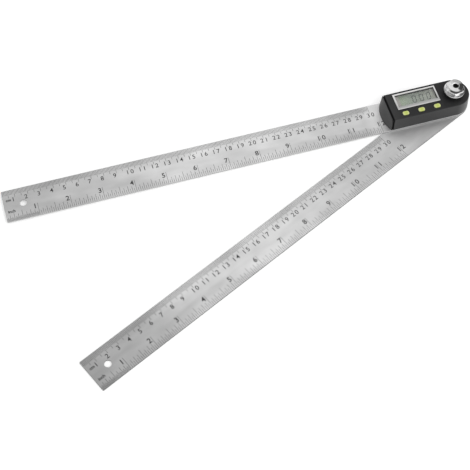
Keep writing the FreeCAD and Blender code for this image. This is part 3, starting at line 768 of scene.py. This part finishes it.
def turned_steel(name, threaded=False):
    # Turned steel. A threaded shaft is painted dark along its thread, a painted shade in the knob's bore.
    material, tree, shader = new_finish(name, metallic=1.0)
    rings = turning_marks(tree, object_place(tree), 0.1 * MM)
    colour = mottled(tree, rings, grey(0.46), grey(0.58))
    if threaded:
        thread = maths(tree, "GREATER_THAN", box_share(tree, "pivot_shaft")["Z"], THREAD_SHARE)
        colour = blended(tree, "MIX", thread, colour, grey(BORE_PAINTED_SHADE))
    set_colour(tree, shader, colour)
    set_roughness(tree, shader, rings, low=0.25, high=0.4)
    bump(tree, shader, rings, strength=0.2, distance=0.01 * MM)
    return material


def bush_brass(name):
    material, tree, shader = new_finish(name, metallic=1.0)
    rings = turning_marks(tree, object_place(tree), 0.12 * MM)
    set_colour(tree, shader, mottled(tree, rings, (0.58, 0.42, 0.18), (0.74, 0.57, 0.28)))
    set_roughness(tree, shader, rings, low=0.22, high=0.38)
    return material


def board_green(name):
    # Solder mask over copper tracks that run along the board.
    material, tree, shader = new_finish(name, metallic=0.0, roughness=0.3)
    tracks = tree.nodes.new("ShaderNodeTexWave")
    tracks.bands_direction = "Y"
    tracks.inputs["Scale"].default_value = 1.0
    tracks.inputs["Distortion"].default_value = 3.0
    tree.links.new(object_place(tree, size=(6 * MM, 3 * MM, 3 * MM)), tracks.inputs["Vector"])
    colour = ramp(tree, tracks.outputs["Fac"], [(0.5, (0.02, 0.13, 0.05)), (0.6, (0.05, 0.24, 0.1))])
    set_colour(tree, shader, colour)
    bump(tree, shader, tracks.outputs["Fac"], strength=0.2, distance=0.03 * MM)
    return material


def potting_black(name):
    material, tree, shader = new_finish(name, metallic=0.0, roughness=0.2)
    flow = speckle(tree, 2 * MM)
    set_colour(tree, shader, mottled(tree, flow, grey(0.008), grey(0.016)))
    bump(tree, shader, flow, strength=0.3, distance=0.05 * MM)
    return material


def part_grey(name):
    material, tree, shader = new_finish(name, metallic=0.0, roughness=0.4)
    body = speckle(tree, 0.5 * MM)
    set_colour(tree, shader, mottled(tree, body, (0.30, 0.25, 0.19), (0.42, 0.36, 0.29)))
    return material


def cell_steel(name):
    # Plated can, turned about its middle and rolled across.
    material, tree, shader = new_finish(name, metallic=1.0)
    low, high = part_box("coin_cell")
    middle = (low + high) / 2
    rings = turning_marks(tree, object_place(tree, centre=(middle.x, middle.y, 0)), 0.3 * MM)
    rolled = noise(tree, object_place(tree, 0.5, (8 * MM, 0.15 * MM, 1)))
    set_colour(tree, shader, mottled(tree, rolled, grey(0.64), grey(0.76)))
    set_roughness(tree, shader, rings, low=0.2, high=0.36)
    return material


SLOT_FINISHES = {
    "case_plastic": case_plastic, "boss_black": boss_black, "bezel_silver": bezel_silver,
    "clear_window": clear_window, "display": display_glass, "holder_white": holder_white,
    "contact_rubber": contact_rubber, "spring_metal": spring_metal,
    "knob_chrome": knob_chrome, "turned_steel": turned_steel, "bush_brass": bush_brass,
    "board_green": board_green, "potting_black": potting_black, "part_grey": part_grey,
    "cell_steel": cell_steel,
}


def dress_nodes():
    finishes = {slot: make(slot) for slot, make in SLOT_FINISHES.items()}
    # The upper rule carries the painted shade zone along its inch side
    upper = rule_steel("upper_rule_steel", 0.0, UPPER_TONES, UPPER_EDGE_TONE, UPPER_PATCH_START, dull=True)
    lower = rule_steel("lower_rule_steel", OPENING, LOWER_TONES, LOWER_EDGE_TONE, LOWER_PATCH_START)
    special = {
        "pivot_shaft": turned_steel("threaded_steel", threaded=True),
        "upper_blade": upper,
        "lower_blade": lower,
    }
    for subpart in frame["record"]["subparts"]:
        name = subpart["node"]
        if subpart["material_slot"] == "button_lime":
            special[name] = button_lime(name + "_lime", name)
        finish = special.get(name) or finishes[subpart["material_slot"]]
        node = frame["nodes"][name]
        node.data.materials.clear()
        node.data.materials.append(finish)


# Pieces drawn on the rules and the display

def build_scales():
    ink = scale_ink("scale_ink")
    digits = {text: letter_mesh(text, "CENTER", NUMBER_WEIGHT) for text in "0123456789"}
    inch_digits = {text: letter_mesh(text, "CENTER", INCH_WEIGHT) for text in "0123456789"}
    units = {text: letter_mesh(text, "LEFT", UNIT_WEIGHT) for text in ("cm", "inch")}
    for side, top, turn in (("upper", UPPER_TOP, 0.0), ("lower", LOWER_TOP, OPENING)):
        body = side + "_arm"
        place = rule_place(top, turn)
        make_piece(side + "_scale_marks", scale_marks(place), ink, body)
        numbers = scale_numbers(place, digits, inch_digits, units)
        make_piece(side + "_scale_numbers", numbers, ink, body)


def snap_dome(button):
    # A sprung dome of thin sheet, dimpled in the middle.
    low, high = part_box(button + "_dome")
    foot = (high.x - low.x) / 2
    axis = Vector(((low.x + high.x) / 2, (low.y + high.y) / 2, low.z))
    bm = bmesh.new()
    points = [bm.verts.new((axis.x + share * foot, axis.y, low.z + rise * (high.z - low.z)))
              for share, rise in DOME_OUTLINE]
    edges = [bm.edges.new(pair) for pair in zip(points, points[1:])]
    bmesh.ops.spin(bm, geom=points + edges, cent=axis, axis=(0, 0, 1), angle=math.tau,
                   steps=DOME_STEPS, use_merge=True)
    bmesh.ops.remove_doubles(bm, verts=bm.verts, dist=MERGE_REACH)
    bmesh.ops.recalc_face_normals(bm, faces=bm.faces)
    bmesh.ops.solidify(bm, geom=bm.faces[:], thickness=DOME_SHEET)
    bmesh.ops.recalc_face_normals(bm, faces=bm.faces)
    return bm, axis, DOME_PRESSED / (high.z - low.z)


def build_domes():
    sheet = spring_metal("dome_sheet")
    for button in ("power", "hold", "zero"):
        bm, axis, pressed_share = snap_dome(button)
        dome = make_piece(button + "_snap_dome", bm, sheet, "upper_arm")
        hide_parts(button + "_dome")
        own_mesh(dome)


def build_display():
    film = film_green("film_green")
    make_piece("display_film", display_film(), film, "upper_arm")
    segments = display_segment("display_segment")
    make_piece("display_reading", display_reading(), segments, "upper_arm")


# Studio

def floor_finish():
    # A dull pale floor, lifted for the eye to the white behind the object.
    material, tree, shader = new_finish("pale_floor", metallic=0.0, roughness=0.9)
    shader.inputs["Base Color"].default_value = FLOOR_COLOUR
    shader.inputs["Specular IOR Level"].default_value = 0.0
    glow = tree.nodes.new("ShaderNodeEmission")
    glow.inputs["Color"].default_value = WHITE
    lift = maths(tree, "MULTIPLY", seen_by_eye(tree), FLOOR_LIFT)
    tree.links.new(lift, glow.inputs["Strength"])
    both = tree.nodes.new("ShaderNodeAddShader")
    tree.links.new(shader.outputs["BSDF"], both.inputs[0])
    tree.links.new(glow.outputs["Emission"], both.inputs[1])
    tree.links.new(both.outputs["Shader"], tree.nodes["Material Output"].inputs["Surface"])
    return material


def seen_by_eye(tree):
    # 1 for what is seen straight, in a reflection or through glass, and 0 for light.
    path = tree.nodes.new("ShaderNodeLightPath")
    either = maths(tree, "MAXIMUM", path.outputs["Is Camera Ray"], path.outputs["Is Glossy Ray"])
    return maths(tree, "MAXIMUM", either, path.outputs["Is Transmission Ray"])


def build_studio():
    scene = bpy.context.scene
    bm = bmesh.new()
    bmesh.ops.create_grid(bm, x_segments=FLOOR_CELLS, y_segments=FLOOR_CELLS, size=FLOOR_REACH)
    floor = make_piece("studio_floor", bm, floor_finish(), None)

    world = bpy.data.worlds.new("studio")
    world.use_nodes = True
    tree = world.node_tree
    light = tree.nodes["Background"]
    light.inputs["Color"].default_value = WHITE
    light.inputs["Strength"].default_value = WORLD_LIGHT
    shown = tree.nodes.new("ShaderNodeBackground")
    shown.inputs["Color"].default_value = WHITE
    shown.inputs["Strength"].default_value = 1.0
    either = tree.nodes.new("ShaderNodeMixShader")
    tree.links.new(seen_by_eye(tree), either.inputs["Fac"])
    tree.links.new(light.outputs["Background"], either.inputs[1])
    tree.links.new(shown.outputs["Background"], either.inputs[2])
    tree.links.new(either.outputs["Shader"], tree.nodes["World Output"].inputs["Surface"])
    scene.world = world

    lamp = bpy.data.lights.new("key_lamp", "AREA")
    lamp.energy = KEY_POWER
    lamp.size = KEY_SIZE
    key = bpy.data.objects.new("key_lamp", lamp)
    scene.collection.objects.link(key)
    key.location = KEY_PLACE
    aim = Vector(KEY_AIM) - Vector(KEY_PLACE)
    key.rotation_euler = aim.to_track_quat("-Z", "Y").to_euler()
    scene.view_settings.view_transform = "Standard"


def build_camera():
    camera = bpy.data.cameras.new("camera")
    camera.lens = CAMERA_LENS
    camera.sensor_width = SENSOR_WIDTH
    holder = bpy.data.objects.new("camera", camera)
    bpy.context.scene.collection.objects.link(holder)
    holder.location = CAMERA_PLACE
    holder.rotation_euler = Euler([math.radians(angle) for angle in CAMERA_TURN], "XYZ")
    bpy.context.scene.camera = holder


build_camera()
build_studio()
dress_nodes()
build_scales()
build_display()
build_domes()
